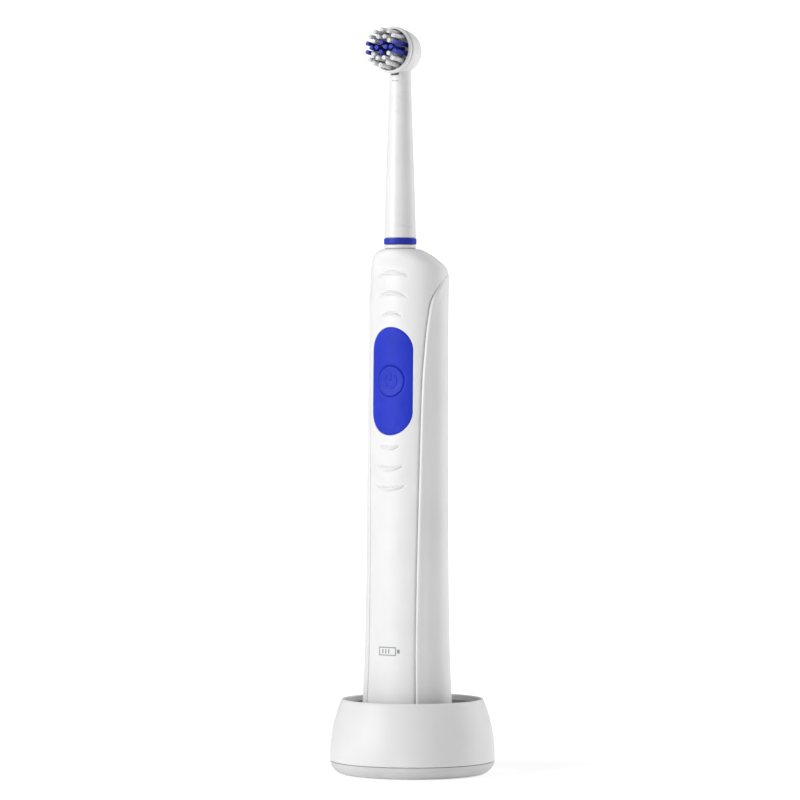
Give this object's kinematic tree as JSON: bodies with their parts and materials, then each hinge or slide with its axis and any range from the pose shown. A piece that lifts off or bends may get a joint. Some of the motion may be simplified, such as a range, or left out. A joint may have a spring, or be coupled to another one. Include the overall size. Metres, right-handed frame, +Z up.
{
  "type": "electric toothbrush on charger",
  "caption": "Slim white rotary electric toothbrush with a blue grip pad and round button, standing upright in a small domed charging base.",
  "frame": {"origin": "centre of the charger's flat underside, on the surface it stands on", "axes": "+Z up along the handle, -Y the front with the button, +X to the right seen from the front"},
  "size_m": [0.053, 0.053, 0.239],
  "materials": {
    "white_plastic": "glossy moulded white plastic",
    "base_plastic": "satin moulded light grey plastic",
    "blue_pad": "satin soft-touch blue elastomer",
    "blue_ring": "satin moulded blue plastic",
    "white_bristle": "white nylon filament",
    "blue_bristle": "blue nylon filament",
    "black_rubber": "matt black rubber",
    "inner_plastic": "matt natural engineering plastic",
    "steel": "bright steel",
    "brass": "bright brass",
    "copper": "enamelled copper wire",
    "ferrite": "matt dark ferrite",
    "circuit_board": "green solder mask",
    "battery_can": "printed sleeve on a metal can",
    "lamp": "clear lamp resin"
  },
  "bodies": {
    "charger": {"charger_body": "white_plastic", "charger_base_plate": "base_plastic", "charger_ferrite_core": "ferrite", "charger_coil_former": "inner_plastic", "charger_coil": "copper", "charger_circuit_board": "circuit_board", "charger_capacitor": "black_rubber", "cord_grommet": "base_plastic"},
    "handle": {"front_shell": "white_plastic", "rear_shell": "white_plastic", "control_pad": "blue_pad", "tact_switch": "steel", "top_collar": "white_plastic", "shaft_seal": "black_rubber", "bottom_cap": "white_plastic", "bottom_seal": "black_rubber", "receiver_coil_former": "inner_plastic", "receiver_coil": "copper", "inner_frame": "inner_plastic", "battery_cell": "battery_can", "battery_tab_negative": "steel", "battery_tab_positive": "steel", "main_circuit_board": "circuit_board", "charge_led": "lamp", "motor_can": "steel", "motor_end_cap": "inner_plastic", "motor_magnet_left": "ferrite", "motor_magnet_right": "ferrite", "gear_axle": "steel", "lower_shaft_bush": "brass", "upper_shaft_bush": "brass"},
    "power_button": {"power_button": "blue_pad", "switch_plunger": "black_rubber"},
    "rotor": {"motor_armature": "steel", "motor_shaft": "steel", "motor_commutator": "copper", "motor_pinion": "brass"},
    "gear": {"eccentric_gear": "inner_plastic"},
    "drive_shaft": {"drive_shaft": "steel", "rocker_arm": "inner_plastic"},
    "connecting_rod": {"connecting_rod": "inner_plastic"},
    "brush_head": {"brush_neck": "white_plastic", "color_ring": "blue_ring", "disc_pin": "steel"},
    "drive_link": {"link_coupler": "inner_plastic", "link_rod": "steel"},
    "bristle_disc": {"bristle_disc": "white_plastic", "white_tufts": "white_bristle", "blue_tufts": "blue_bristle"}
  },
  "joints": [
    {"name": "handle_lift", "type": "slide", "parent": "charger", "child": "handle", "axis": [0, 0, 1], "range_m": [0, 0.035]},
    {"name": "button_press", "type": "slide", "parent": "handle", "child": "power_button", "axis": [0, 1, 0], "range_m": [0, 0.0003], "stiffness_N_per_m": 3000},
    {"name": "rotor_spin", "type": "hinge", "parent": "handle", "child": "rotor", "pos_m": [0, -0.0022, 0.095], "axis": [0, 0, 1], "continuous": true},
    {"name": "gear_spin", "type": "hinge", "parent": "handle", "child": "gear", "pos_m": [0.00526, -0.00028, 0.1107], "axis": [0, 0, 1], "continuous": true},
    {"name": "shaft_swing", "type": "hinge", "parent": "handle", "child": "drive_shaft", "pos_m": [0, -0.0072, 0.15], "axis": [0, 0, 1], "range_deg": [-26, 26]},
    {"name": "rod_turn", "type": "hinge", "parent": "drive_shaft", "child": "connecting_rod", "pos_m": [-0.00165, -0.00301, 0.1137], "axis": [0, 0, 1], "range_deg": [-26, 26]},
    {"name": "brush_pull", "type": "slide", "parent": "handle", "child": "brush_head", "axis": [0, 0, 1], "range_m": [0, 0.035]},
    {"name": "link_swing", "type": "hinge", "parent": "brush_head", "child": "drive_link", "pos_m": [0, -0.0072, 0.2], "axis": [0, 0, 1], "range_deg": [-26, 26]},
    {"name": "disc_swing", "type": "hinge", "parent": "brush_head", "child": "bristle_disc", "pos_m": [0, -0.0128, 0.23135], "axis": [0, -0.9981, 0.061], "range_deg": [-16.5, 16.5]}
  ],
  "couplings": [
    {"joint": "gear_spin", "follows": "rotor_spin", "ratio": -0.4},
    {"joint": "rod_turn", "follows": "shaft_swing", "ratio": -1},
    {"joint": "link_swing", "follows": "shaft_swing", "ratio": 1},
    {"joint": "disc_swing", "follows": "shaft_swing", "ratio": 0.63}
  ]
}
